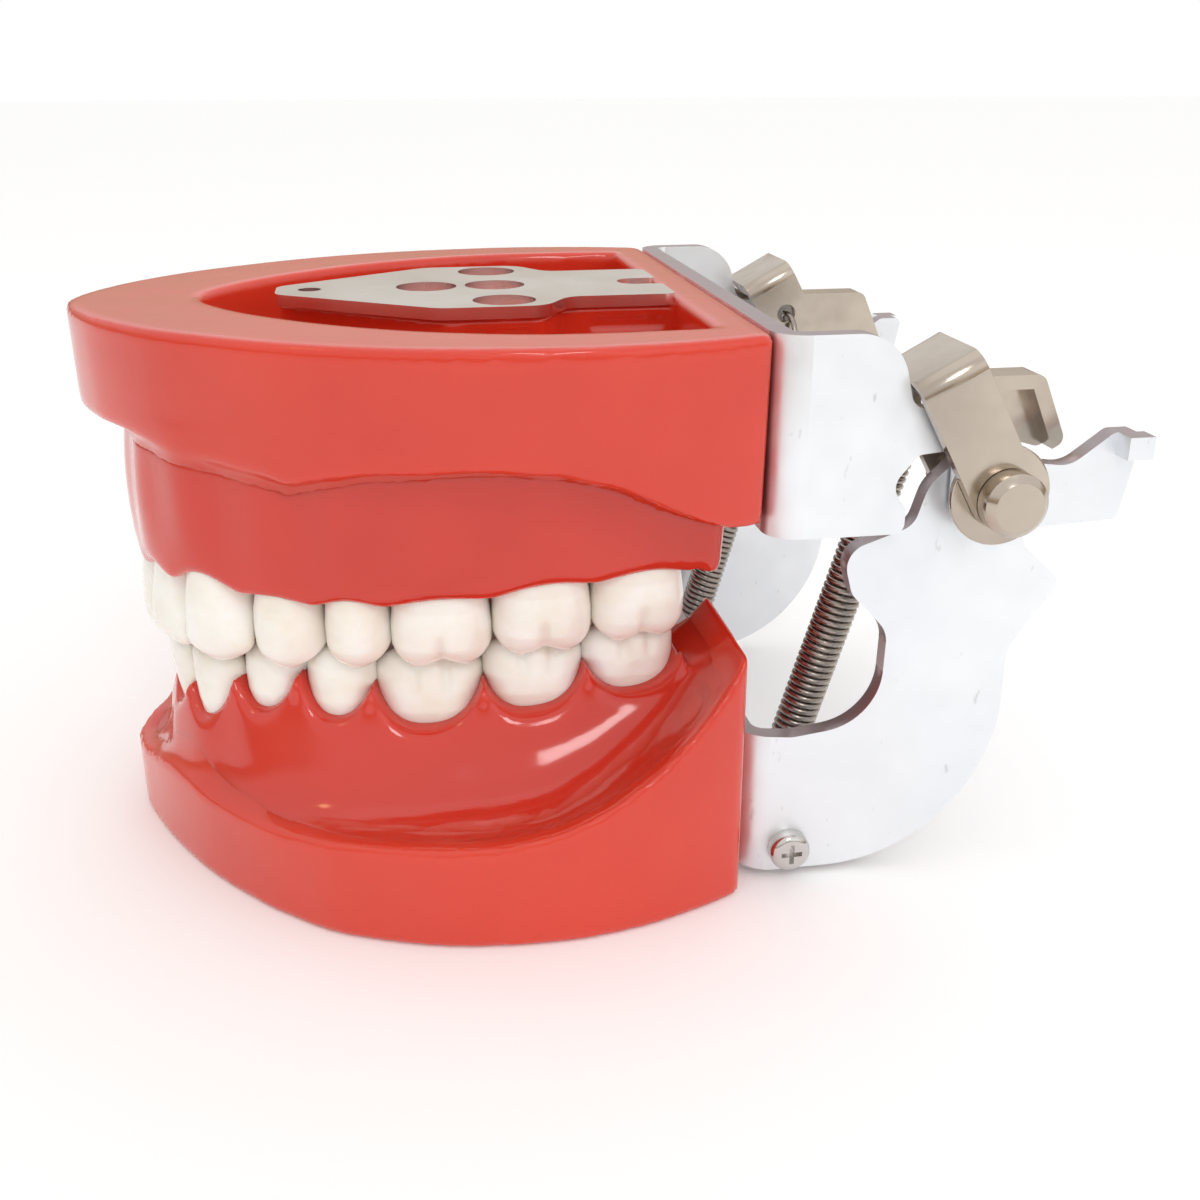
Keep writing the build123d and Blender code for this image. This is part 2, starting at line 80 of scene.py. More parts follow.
# Side views as (y, z): the upper base's lower edge, which dips at the side frenum and drops to
# the heels, and the lower base's rim, which climbs to them.
UPPER_UNDERSIDE = [(-60, 47.2), (-45, 47.2), (-36, 46.0), (-31.5, 45.3), (-29.2, 44.4), (-27, 45.2),
                   (-22, 46.1), (-12, 46.6), (-5, 46.1), (0.5, 44.6), (5, 42.2), (8, 40.8), (11, 39.7),
                   (16, 39.4)]
LOWER_RIM = [(-60, 8.4), (-46, 8.5), (-40, 8.9), (-34, 9.7), (-28, 10.5), (-20, 10.9), (-12, 11.2),
             (-6, 12.3), (-1, 14.3), (4, 17.3), (8, 20.6), (11.4, 24.4), (13.4, 27.4), (15, 30)]

# Each list in an arch holds a value for each tooth of half of it, from the midline back.
UPPER_ARCH = SimpleNamespace(
    body=UPPER,
    to_base=1,                   # the base lies above the teeth
    quadrants=("2", "1"),        # first FDI digits on the +X and -X sides
    kinds=["incisor"] * 2 + ["canine"] + ["upper_premolar"] * 2 + ["upper_molar"] * 3,
    # Where neighbouring crowns touch, in plan.
    contacts=[(0, -46.5), (8.5, -45.0), (15.1, -41.3), (19.3, -34.6), (21.8, -27.6), (23.4, -21.1),
              (24.5, -10.9), (24.7, -0.7), (23.7, 9.1)],
    tip=[23.4, 24.0, 23.3, 23.8, 24.1, 24.1, 25.0, 25.7],       # heights of the cusp tips
    depth=[6.8, 6.2, 8.0, 9.0, 9.2, 11.0, 10.8, 9.8],           # from cheek side to tongue side
    proud=[1.2, 1.2, 2.0, 2.1, 1.9, 1.9, 1.8, 1.6],             # outer face beyond the contacts
    margin=[33.2, 33.0, 33.9, 31.8, 31.9, 31.9, 33.2, 33.7],    # heights of the gum line
    papilla=[1.6, 1.4, 0.9, 0.6, 0.5, 0.6, 0.5, 0.5],           # points of gum beyond that line
    rounding=[2.2, 2.2, 2.2, 2.2, 2.2, 2.6, 2.6, 2.6],          # power of each scallop's curve
    blunt=0.6,                                                  # share of round in those points
    wall=[0.7, 0.9, 1.8, 2.0, 1.9, 2.1, 2.0, 1.7],              # gum beyond the contacts, at the teeth
    wall_end=[-0.2, 0.3, 2.0, 3.2, 3.6, 4.0, 4.4, 4.6],         # and at the base
    bulge=1.0,                   # share of ROOT_BULGE
    heel_z=31.8,                 # the gum's ridge behind the last tooth
    slab_z=47.2,                 # where the gum meets the base
    sunk=1.0)                    # how far the gum's shape runs on into the base
LOWER_ARCH = SimpleNamespace(
    body=LOWER,
    to_base=-1,
    quadrants=("3", "4"),
    kinds=["incisor"] * 2 + ["canine"] + ["lower_premolar"] * 2 + ["lower_molar"] * 3,
    contacts=[(0, -44.3), (5.5, -43.9), (11.1, -41.9), (16.2, -36.6), (19.75, -30.2), (22.1, -23.0),
              (23.35, -11.9), (23.6, -1.4), (22.7, 8.6)],
    tip=[23.9, 24.1, 25.2, 26.0, 26.0, 25.6, 26.6, 27.3],
    depth=[5.8, 6.0, 7.4, 7.8, 8.2, 10.2, 9.9, 9.3],
    proud=[1.0, 1.1, 1.3, 0.9, 0.8, 0.5, 0.5, 0.4],
    margin=[15.9, 15.8, 16.5, 19.1, 18.8, 17.5, 19.3, 20.5],
    papilla=[2.4, 2.6, 3.2, 4.2, 4.0, 3.8, 3.6, 3.2],
    rounding=[1.9, 1.9, 2.2, 2.4, 2.7, 3.6, 3.6, 3.6],
    blunt=0.15,
    wall=[0.5, 0.6, 1.2, 1.3, 1.3, 1.4, 1.4, 1.2],
    wall_end=[1.1, 1.5, 2.8, 4.0, 5.0, 6.0, 6.6, 6.6],
    bulge=0.45,
    heel_z=23.0,
    slab_z=10.9,
    sunk=4.0)


# ---------------------------------------------------------------- fields and meshes
FAR = 9.0                    # a field's value well away from its shape


def smooth_max(a, b, k):
    """Intersection of two fields with an edge rounded by about k."""
    h = np.clip(0.5 - 0.5 * (b - a) / k, 0, 1)
    return b + (a - b) * h + k * h * (1 - h)


def smooth_min(a, b, k):
    """Union of two fields with a fillet of about k."""
    return -smooth_max(-a, -b, k)


def smooth_step(x, low, high):
    t = np.clip((x - low) / (high - low), 0, 1)
    return t * t * (3 - 2 * t)


def bell(x, width):
    return np.exp(-(x / width) ** 2)


def grid(low, high, step):
    axes = [np.arange(a, b + step, step) for a, b in zip(low, high)]
    return np.meshgrid(*axes, indexing="ij", sparse=True)


def surface(field, low, step):
    """The zero surface of a field as (points, quads)."""
    volume = openvdb.FloatGrid(FAR)
    volume.copyFromArray(np.ascontiguousarray(field, dtype=np.float32))
    points, quads = volume.convertToQuads(isovalue=0.0)
    return points * step + np.array(low), quads


def mesh_piece(name, points, faces, material, slot, replaced, body=None):
    """A smooth Blender object from points in millimetres. It rides on a body if one is named."""
    mesh = bpy.data.meshes.new(name)
    mesh.from_pydata((np.asarray(points) * MM).tolist(), [], [tuple(f) for f in faces])
    mesh.materials.append(material)
    work = bmesh.new()
    work.from_mesh(mesh)
    bmesh.ops.recalc_face_normals(work, faces=work.faces)
    work.to_mesh(mesh)
    work.free()
    mesh.polygons.foreach_set("use_smooth", [True] * len(mesh.polygons))
    piece = bpy.data.objects.new(name, mesh)
    bpy.context.scene.collection.objects.link(piece)
    if body:
        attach(piece, body)
    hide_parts(replaced)
    return piece


# ---------------------------------------------------------------- plan curves
PLACES_PER_SPAN = 24
CHUNK = 20000                # points of a grid that are measured at a time


def curve_through(points):
    """A smooth curve through points on the +X side, mirrored at the first. Returns places on
    it, the unit tangents there and the stations, which count the spans between points."""
    control = [(-points[1][0], points[1][1])] + list(points)
    control.append(tuple(2 * np.array(points[-1]) - np.array(points[-2])))
    control = np.array(control, float)
    places, tangents, stations = [], [], []
    for start in range(len(points) - 1):
        p0, p1, p2, p3 = control[start:start + 4]
        t = np.linspace(0, 1, PLACES_PER_SPAN, endpoint=False)[:, None]
        line, square, cube = p2 - p0, 2 * p0 - 5 * p1 + 4 * p2 - p3, 3 * p1 - p0 - 3 * p2 + p3
        places.append(0.5 * (2 * p1 + line * t + square * t ** 2 + cube * t ** 3))
        tangents.append(line + 2 * square * t + 3 * cube * t ** 2)
        stations.append(start + t[:, 0])
    places, tangents = np.vstack(places), np.vstack(tangents)
    tangents /= np.linalg.norm(tangents, axis=1)[:, None]
    return places, tangents, np.concatenate(stations)


def lateral(x, y, curve, tangent, stations):
    """Signed distance outward from a mirrored curve, and the station of the nearest place."""
    x, y = np.abs(x) + 0 * y, y + 0 * x
    flat = np.stack([x.ravel(), y.ravel()], axis=1)
    nearest = np.empty(len(flat), dtype=int)
    for start in range(0, len(flat), CHUNK):
        part = flat[start:start + CHUNK]
        gap = (part[:, None, 0] - curve[None, :, 0]) ** 2 + (part[:, None, 1] - curve[None, :, 1]) ** 2
        nearest[start:start + CHUNK] = gap.argmin(axis=1)
    offset = flat - curve[nearest]
    t = tangent[nearest]
    out = offset[:, 0] * t[:, 1] - offset[:, 1] * t[:, 0]
    along = offset[:, 0] * t[:, 0] + offset[:, 1] * t[:, 1]
    spacing = np.hypot(*np.gradient(curve, axis=0).T)[nearest]
    rate = np.gradient(stations)[nearest] / spacing
    return out.reshape(x.shape), (stations[nearest] + along * rate).reshape(x.shape)


def plan_field(x, y, points, back):
    """A mirrored outline's field, closed by a straight line at back."""
    curve, tangent, _ = curve_through(points)
    curve, tangent = np.vstack([curve, points[-1]]), np.vstack([tangent, tangent[-1]])
    side, _ = lateral(x, y, curve, tangent, np.arange(len(curve), dtype=float))
    return smooth_max(side, y - back + 0 * x, 1.2)


def polygon_field(x, y, corners):
    """A mirrored straight-sided outline's field, given as its +X side."""
    loop = list(corners) + [(-px, py) for px, py in reversed(corners) if px > 0]
    x, y = x + 0 * y, y + 0 * x
    gap = np.full(x.shape, np.inf)
    inside = np.zeros(x.shape, dtype=bool)
    for (ax, ay), (bx, by) in zip(loop, loop[1:] + loop[:1]):
        ex, ey = bx - ax, by - ay
        t = np.clip(((x - ax) * ex + (y - ay) * ey) / (ex * ex + ey * ey), 0, 1)
        gap = np.minimum(gap, np.hypot(x - ax - t * ex, y - ay - t * ey))
        if ey:
            inside ^= ((ay > y) != (by > y)) & (x < ex * (y - ay) / ey + ax)
    return np.where(inside, -gap, gap)


def side_profile(y, line):
    """A height that follows a side view, with its corners eased."""
    reach = 4
    kernel = np.hanning(2 * reach + 1)
    heights = np.pad(np.interp(y, *zip(*line)).ravel(), reach, mode="edge")
    return np.convolve(heights, kernel / kernel.sum(), mode="valid").reshape(y.shape)


# ---------------------------------------------------------------- materials
def set_values(node, values):
    for key, value in values.items():
        node.inputs[key].default_value = value


def new_material(name, color, roughness, metallic=0.0):
    material = bpy.data.materials.new(name)
    material.use_nodes = True
    shader = material.node_tree.nodes["Principled BSDF"]
    set_values(shader, {"Base Color": (*color, 1), "Roughness": roughness, "Metallic": metallic})
    return material, material.node_tree, shader


def noise(tree, scale, detail, stretch=(1, 1, 1)):
    """A noise texture in object space, scale in waves per metre."""
    place = tree.nodes.new("ShaderNodeTexCoord")
    mapping = tree.nodes.new("ShaderNodeMapping")
    texture = tree.nodes.new("ShaderNodeTexNoise")
    set_values(mapping, {"Scale": stretch})
    set_values(texture, {"Scale": scale, "Detail": detail})
    tree.links.new(place.outputs["Object"], mapping.inputs["Vector"])
    tree.links.new(mapping.outputs["Vector"], texture.inputs["Vector"])
    return texture.outputs["Fac"]


def ramp(tree, factor, stops):
    """A colour that runs through (position, colour) stops."""
    node = tree.nodes.new("ShaderNodeValToRGB")
    while len(node.color_ramp.elements) < len(stops):
        node.color_ramp.elements.new(0.5)
    for element, (position, color) in zip(node.color_ramp.elements, stops):
        element.position = position
        element.color = (*color, 1)
    tree.links.new(factor, node.inputs["Fac"])
    return node.outputs["Color"]


def drift(tree, scale, detail, dark, light):
    """A colour that wanders between two."""
    return ramp(tree, noise(tree, scale, detail), [(0.3, dark), (0.7, light)])


def remap(tree, factor, low, high, out_low, out_high):
    node = tree.nodes.new("ShaderNodeMapRange")
    set_values(node, {"From Min": low, "From Max": high, "To Min": out_low, "To Max": out_high})
    tree.links.new(factor, node.inputs["Value"])
    return node.outputs["Result"]


def mix_color(tree, factor, first, second):
    """The first colour at factor 0 and the second at 1, each a colour or a socket."""
    node = tree.nodes.new("ShaderNodeMix")
    node.data_type = "RGBA"
    tree.links.new(factor, node.inputs["Factor"])
    for color, socket in ((first, node.inputs["A"]), (second, node.inputs["B"])):
        if isinstance(color, tuple):
            socket.default_value = (*color, 1)
        else:
            tree.links.new(color, socket)
    return node.outputs["Result"]


def math_node(tree, operation, *values):
    node = tree.nodes.new("ShaderNodeMath")
    node.operation = operation
    for value, socket in zip(values, node.inputs):
        tree.links.new(value, socket)
    return node.outputs[0]


def bump(tree, shader, height, strength, distance):
    node = tree.nodes.new("ShaderNodeBump")
    set_values(node, {"Strength": strength, "Distance": distance})
    tree.links.new(height, node.inputs["Height"])
    tree.links.new(node.outputs["Normal"], shader.inputs["Normal"])


def resin(name, deep, light, roughness):
    """Cast acrylic: a clear glossy skin over a colour that varies a little with thickness."""
    material, tree, shader = new_material(name, deep, roughness)
    tree.links.new(drift(tree, 38, 3.0, deep, light), shader.inputs["Base Color"])
    set_values(shader, {"Subsurface Weight": 0.30, "Subsurface Radius": (1.0, 0.16, 0.08),
                        "Subsurface Scale": 0.004, "Coat Weight": 0.35, "Coat Roughness": 0.06})
    polish = remap(tree, noise(tree, 160, 6.0), 0.35, 0.7, roughness * 0.8, roughness * 1.5)
    tree.links.new(polish, shader.inputs["Roughness"])
    bump(tree, shader, noise(tree, 220, 3.0), strength=0.12, distance=0.0003)
    return material


def enamel():
    """Tooth resin: ivory that is faintly uneven and glossy."""
    material, tree, shader = new_material("tooth_resin", (0.92, 0.89, 0.81), 0.13)
    tree.links.new(drift(tree, 240, 3.0, (0.89, 0.84, 0.74), (0.97, 0.955, 0.90)),
                   shader.inputs["Base Color"])
    set_values(shader, {"Subsurface Weight": 0.25, "Subsurface Radius": (1.0, 0.7, 0.45),
                        "Subsurface Scale": 0.0012, "Coat Weight": 0.3, "Coat Roughness": 0.08})
    bump(tree, shader, noise(tree, 900, 2.0), strength=0.08, distance=0.0001)
    return material


def metal(name, dark, light, roughness, grain, scratch=0.1):
    """Metal with a faint colour drift, uneven polish and fine marks."""
    material, tree, shader = new_material(name, dark, roughness, metallic=1.0)
    tree.links.new(drift(tree, 90, 5.0, dark, light), shader.inputs["Base Color"])
    polish = noise(tree, grain, 6.0)
    tree.links.new(remap(tree, polish, 0.3, 0.7, roughness * 0.7, roughness * 1.35),
                   shader.inputs["Roughness"])
    bump(tree, shader, polish, strength=scratch, distance=0.00004)
    return material


def aluminium():
    """Satin anodised sheet: pale faces with a few fine dark marks, and darker pinkish-grey sheared edges
    and bends, which are painted shade and a painted pink reflection of the red resin.
    """
    material, tree, shader = new_material("anodised_aluminium", (0.86, 0.88, 0.91), 0.4, metallic=0.85)
    face = drift(tree, 60, 3.0, (0.83, 0.86, 0.90), (0.91, 0.93, 0.95))
    marks = remap(tree, noise(tree, 900, 2.0, stretch=(1, 1, 0.5)), 0.70, 0.78, 0.0, 0.4)
    face = mix_color(tree, marks, face, (0.42, 0.40, 0.42))
    # Sheared edges and the middles of bends look neither sideways nor straight to the front or back; they
    # get painted shade and a painted pink reflection of the resin.
    place = tree.nodes.new("ShaderNodeTexCoord")
    split = tree.nodes.new("ShaderNodeSeparateXYZ")
    tree.links.new(place.outputs["Normal"], split.inputs[0])
    not_side = remap(tree, math_node(tree, "ABSOLUTE", split.outputs["X"]), 0.25, 0.45, 1.0, 0.0)
    not_back = remap(tree, math_node(tree, "ABSOLUTE", split.outputs["Y"]), 0.985, 0.999, 1.0, 0.0)
    edges = math_node(tree, "MULTIPLY", not_side, not_back)
    # This mix paints that shade and pink reflection into the face colour.
    tree.links.new(mix_color(tree, edges, face, (0.42, 0.36, 0.37)), shader.inputs["Base Color"])
    polish = noise(tree, 320, 6.0)
    tree.links.new(remap(tree, polish, 0.3, 0.7, 0.32, 0.50), shader.inputs["Roughness"])
    bump(tree, shader, polish, strength=0.10, distance=0.00004)
    return material


RED = resin("base_acrylic", (0.63, 0.034, 0.013), (0.71, 0.048, 0.020), 0.17)
# The gingiva's red, a little darker than the base's, is painted shade from the base's overhang.
GUM = resin("gingiva_acrylic", (0.59, 0.030, 0.014), (0.67, 0.042, 0.022), 0.12)
TOOTH = enamel()
ALUMINIUM = aluminium()
NICKEL = metal("nickel_plate", (0.43, 0.37, 0.31), (0.57, 0.50, 0.42), 0.19, 500, scratch=0.15)
SCREW = metal("screw_steel", (0.60, 0.58, 0.56), (0.70, 0.68, 0.66), 0.16, 500)
STEEL = metal("plate_steel", (0.76, 0.755, 0.75), (0.82, 0.815, 0.81), 0.22, 60, scratch=0.0)
WIRE = metal("spring_wire", (0.30, 0.26, 0.235), (0.42, 0.37, 0.33), 0.22, 700)
BRASS = metal("screw_brass", (0.68, 0.50, 0.22), (0.78, 0.60, 0.30), 0.28, 400)


# ---------------------------------------------------------------- gingiva
ROOT_BULGE = [0.2, 0.2, 0.3, 0.2, 0.16, 0.2, 0.16, 0.1]      # each root pushes the wall out
TONGUE_DEPTH = [5.6, 5.4, 6.4, 7.4, 7.8, 9.4, 9.4, 8.8]      # the ridge's width
VAULT_RISE = 8.4


def arch_curve(contacts):
    """The contact line, run on straight past the last tooth to the back of the gum."""
    end, before = np.array(contacts[-1], float), np.array(contacts[-2], float)
    step = (end - before) / np.linalg.norm(end - before)
    return curve_through(list(contacts) + [tuple(end + step * 8), tuple(end + step * 16)])


def by_tooth(values, station):
    """A value that runs smoothly from tooth to tooth along the arch."""
    reach, spacing = 24, 0.025
    fine = np.arange(-1, len(values) + 1, spacing)
    line = np.interp(fine, np.arange(len(values)) + 0.5, values)
    kernel = np.hanning(2 * reach + 1)
    eased = np.convolve(np.pad(line, reach, mode="edge"), kernel / kernel.sum(), mode="valid")
    return np.interp(station, fine, eased)


def scallop(station, power, blunt):
    """0 in the middle of a tooth's face and 1 at the point of gum beside it."""
    share = np.abs((station % 1.0) - 0.5) * 2
    points = (1 - blunt) * share ** power + blunt * 0.5 * (1 - np.cos(math.pi * share))
    return np.where(station < TEETH, points, 0.35)


def gum_wall(z, level, station, past, arch):
    """How far the cheek side stands out from the contacts, between level and the base."""
    height = np.clip((z - level) / (arch.slab_z - level), 0, 1.3)
    bulge = by_tooth(ROOT_BULGE, station) * -np.cos(2 * math.pi * station) * (1 - past) * arch.bulge
    swell = np.sin(np.minimum(height, 1) * math.pi * 0.8)
    near, far = by_tooth(arch.wall, station), by_tooth(arch.wall_end, station)
    return near + (far - near) * height ** 1.4 + (bulge + 0.45) * swell


def palate(x, y, inward, depth):
    """The vault's rise, less the low folds that run across its front beside a middle ridge."""
    vault = VAULT_RISE * smooth_step(inward, depth - 1.2, depth + 8.5)
    folds = 0.35 * np.sin((y + 0.35 * np.abs(x)) * 1.75) * smooth_step(inward, depth + 1, depth + 3)
    folds = folds * smooth_step(-y, 16, 22) * smooth_step(np.abs(x), 0.8, 2.5)
    middle = 0.5 * bell(x, 1.1) * smooth_step(inward, depth + 1, depth + 4)
    return vault - folds - middle


def gum_field(x, y, z, arch):
    """A jaw's gingiva: a wall outside, a scalloped ridge, and the tongue side inside."""
    way = arch.to_base
    out, station = lateral(x, y, *arch_curve(arch.contacts))
    inward = -out
    past = smooth_step(station, TEETH - 0.1, TEETH + 0.6)
    margin, papilla = by_tooth(arch.margin, station), by_tooth(arch.papilla, station)
    points = papilla * scallop(station, by_tooth(arch.rounding, station), arch.blunt)
    lines = (margin - way * points, margin - way * 0.4 * papilla, margin - way * (0.6 + 0.5 * points))
    ridge, level, tongue_ridge = [line * (1 - past) + arch.heel_z * past for line in lines]
    outside = (out - gum_wall(z, level, station, past, arch)) * 0.92
    depth = by_tooth(TONGUE_DEPTH, station)
    mix = smooth_step(inward, depth * 0.35, depth * 0.65)
    edge = ridge * (1 - mix) + tongue_ridge * mix
    if arch is UPPER_ARCH:
        inside = (edge + palate(x, y, inward, depth) - z) * 0.8
    else:
        fall = (ridge - arch.slab_z + 1.0) * smooth_step(inward, depth - 0.8, depth + 4.4)
        inside = (z - edge + fall) * 0.75
    field = np.maximum(smooth_max(inside, outside, 1.1), way * (z - arch.slab_z) - arch.sunk)
    return smooth_max(field, y - (GUM_BACK + 1.0) + 0 * field, 1.6)


# ---------------------------------------------------------------- bases
GUM_STEP, BASE_STEP = 0.4, 0.5
SEAM_UNDER = 0.03            # the base's skin runs on under the gingiva, lower by this much
SEAM_DROP = 1.0              # from the upper base's edge down to the gingiva's piece
UPPER_LAP, LOWER_LAP = 0.8, 0.9           # how far a base's piece runs on under the gingiva's
UPPER_FILLET, LOWER_FILLET = 1.5, 4.2     # between a gingiva and its base
SEAM_R = 0.5
GUM_INSET = 1.6              # from the lower rim's outer edge in to the gingiva's thin edge
BED_DEPTH = 0.6              # how far the lower gingiva's piece sinks into the base
BED_BACK = 0.6               # and runs on past the gingiva's back
POCKET_EDGE_R = 0.8
HEEL_FLOOR_Y, HEEL_FLOOR_Z = 8.5, 18.0    # the mouth's floor steps up here
DRAFT = 0.012                # slope of the upper base's sides
SLOTS = [(13.8, -8.0), (9.0, 5.5)]        # middles of the island's long shallow slots
SLOT_Z, SLOT_HALF, SLOT_R = 55.0, 3.4, 0.8


def pocket_field(x, y, z, floor, island_top):
    """The recess round a mounting plate; z runs outward from the floor."""
    room = plan_field(x, y, POCKET_OUTLINE, POCKET_BACK)
    island = polygon_field(x, y, ISLAND) - 0.6
    ring = smooth_max(room, -island, 0.8)
    above = smooth_max(room, island_top - z, 0.4)
    return smooth_max(np.minimum(ring, above), floor - z, 1.6)


def slots_field(x, y, z):
    field = FAR
    for slot_x, slot_y in SLOTS:
        along = np.maximum(np.abs(y - slot_y) - SLOT_HALF, 0)
        gap = np.sqrt(along ** 2 + (np.abs(x) - slot_x) ** 2 + (z - SLOT_Z) ** 2)
        field = np.minimum(field, gap - SLOT_R)
    return field


def upper_body(x, y, z):
    """The upper base and its gingiva as one body with a soft fillet, and its lower edge."""
    edge = side_profile(y, UPPER_UNDERSIDE)
    side = plan_field(x, y, UPPER_OUTLINE, UPPER_BACK) + DRAFT * (TOP_Z - z)
    slab = smooth_max(smooth_max(side, z - TOP_Z, 0.8), (edge - z) * 0.9, 0.9)
    return smooth_min(slab, gum_field(x, y, z, UPPER_ARCH), UPPER_FILLET), edge


def lower_body(x, y, z):
    """The same for the lower jaw, and the bed that its gingiva's piece keeps to: it runs out
    thin to just inside the rim, and stops short of the heels."""
    side = plan_field(x, y, LOWER_OUTLINE, LOWER_BACK)
    rim = side_profile(y, LOWER_RIM)
    inside = smooth_step(-lateral(x, y, *arch_curve(LOWER_ARCH.contacts))[0], 6.0, 12.0)
    trough = (0.6 + 0.8 * smooth_step(-y, 32, 42)) * smooth_step(-side, 0.2, 4.5)
    floor = np.where(y < HEEL_FLOOR_Y, LOWER_ARCH.slab_z, HEEL_FLOOR_Z)
    top = (rim - trough) * (1 - inside) + np.minimum(rim, floor) * inside
    slab = smooth_max(smooth_max(side, (z - top) * 0.85, 0.5), -z, 0.7)
    body = np.maximum(smooth_min(slab, gum_field(x, y, z, LOWER_ARCH), LOWER_FILLET), side)
    bed = np.maximum(np.maximum(side + GUM_INSET, top - BED_DEPTH - z), y - GUM_BACK - BED_BACK)
    return body, bed


def make_upper_jaw():
    low, high = (-36, -53, 37), (36, 17, 60)
    x, y, z = grid(low, high, BASE_STEP)
    body, edge = upper_body(x, y, z)
    body = np.maximum(body + SEAM_UNDER, edge - SEAM_DROP - UPPER_LAP - z)
    body = smooth_max(body, -pocket_field(x, y, z, POCKET_TOP_FLOOR, ISLAND_TOP), POCKET_EDGE_R)
    body = smooth_max(body, -slots_field(x, y, z), 0.3)
    points, quads = surface(body, low, BASE_STEP)
    mesh_piece("upper_base_shell", points, quads, RED, "base_resin", "upper_base", UPPER)

    low, high = (-33, -53, 28), (33, 14, 48)
    x, y, z = grid(low, high, GUM_STEP)
    body, edge = upper_body(x, y, z)
    points, quads = surface(smooth_max(body, z - edge + SEAM_DROP, SEAM_R), low, GUM_STEP)
    mesh_piece("upper_gingiva_skin", points, quads, GUM, "gingiva_resin", "upper_gingiva", UPPER)


def make_lower_jaw():
    low, high = (-40, -52, -2), (40, 16, 30)
    x, y, z = grid(low, high, BASE_STEP)
    body, bed = lower_body(x, y, z)
    body = np.maximum(body + SEAM_UNDER, -bed - LOWER_LAP)
    body = smooth_max(body, -pocket_field(x, y, -z, -POCKET_LOW_ROOF, -LOW_ISLAND), POCKET_EDGE_R)
    points, quads = surface(body, low, BASE_STEP)
    mesh_piece("lower_base_shell", points, quads, RED, "base_resin", "lower_base", LOWER)

    low, high = (-38, -51, 6), (38, 14, 29)
    x, y, z = grid(low, high, GUM_STEP)
    body, bed = lower_body(x, y, z)
    points, quads = surface(smooth_max(body, bed, SEAM_R), low, GUM_STEP)
    mesh_piece("lower_gingiva_skin", points, quads, GUM, "gingiva_resin", "lower_gingiva", LOWER)


# ---------------------------------------------------------------- teeth
TOOTH_STEP = 0.25
ROOT_SHOWN = 3.6             # how far a crown's mesh runs on into the gingiva
NECK_OVERLAP = 0.2
# Shares of full size at steps of height from root (-0.5) through neck (0) to tip (1).
STEPS = [-0.5, -0.15, 0.0, 0.2, 0.45, 0.7, 0.88, 1.0, 1.2]
FRONT_WIDTH = [0.60, 0.72, 0.79, 0.89, 0.97, 1.0, 1.0, 0.97, 0.92]
FRONT_TONGUE = [0.62, 0.84, 0.95, 0.92, 0.50, 0.06, -0.22, -0.40, -0.48]
INCISOR_FACE = [0.50, 0.66, 0.75, 0.85, 0.95, 1.0, 0.96, 0.90, 0.82]
CANINE_FACE = [0.62, 0.82, 0.92, 1.0, 0.98, 0.88, 0.78, 0.70, 0.62]
BACK_WIDTH = [0.70, 0.80, 0.87, 0.95, 1.0, 1.0, 0.97, 0.90, 0.82]
BACK_TONGUE = [0.66, 0.82, 0.90, 0.98, 1.0, 0.94, 0.84, 0.70, 0.55]
BACK_FACE = [0.66, 0.84, 0.92, 1.0, 0.99, 0.92, 0.80, 0.68, 0.54]


def kind_of_tooth(front, face, squareness, slope, cusps, grooves=()):
    """Front teeth narrow to an edge and back teeth are boxes. Cusps are (toward the back, toward
    the cheek, height), in half sizes and shares of the crown's height, and fall off by slope
    along the arch. Grooves run down the cheek side at a place along it."""
    return SimpleNamespace(
        front=front, face=face, squareness=squareness, slope_x=slope, slope_y=0.9 if front else 0.68,
        width=FRONT_WIDTH if front else BACK_WIDTH, tongue=FRONT_TONGUE if front else BACK_TONGUE,
        fan=0.16 if front else 0.10, cusps=cusps, grooves=grooves)


KINDS = {
    "incisor": kind_of_tooth(True, INCISOR_FACE, 2.6, 0.10,
                             [(-0.55, 0.30, 1.0), (0.0, 0.34, 1.0), (0.55, 0.30, 0.985)]),
    "canine": kind_of_tooth(True, CANINE_FACE, 2.1, 0.52, [(-0.05, 0.30, 1.0)]),
    "upper_premolar": kind_of_tooth(False, BACK_FACE, 2.2, 0.56, [(0.0, 0.52, 1.0), (-0.05, -0.52, 0.94)]),
    "lower_premolar": kind_of_tooth(False, BACK_FACE, 2.2, 0.56, [(0.0, 0.36, 1.0), (-0.1, -0.55, 0.86)]),
    "upper_molar": kind_of_tooth(False, BACK_FACE, 2.7, 0.60,
                                 [(-0.46, 0.56, 1.0), (0.46, 0.54, 0.97), (-0.34, -0.52, 0.97),
                                  (0.48, -0.52, 0.88)], grooves=[0.0]),
    "lower_molar": kind_of_tooth(False, BACK_FACE, 2.7, 0.60,
                                 [(-0.52, 0.50, 0.95), (0.04, 0.54, 0.95), (0.58, 0.40, 0.91),
                                  (-0.48, -0.54, 1.0), (0.42, -0.52, 0.98)], grooves=[-0.22, 0.34]),
}


def bite_height(x, y, width, depth, height, kind):
    """The biting surface: the cusps' cones, run together softly."""
    softness = 2.4
    peaks = 0
    for cusp_x, cusp_y, level in kind.cusps:
        run = np.sqrt((kind.slope_x * (x - cusp_x * width / 2)) ** 2
                      + (kind.slope_y * (y - cusp_y * depth / 2)) ** 2 + 0.10)
        peaks = peaks + np.exp(softness * (height * level - run + 0.3))
    return np.log(peaks) / softness


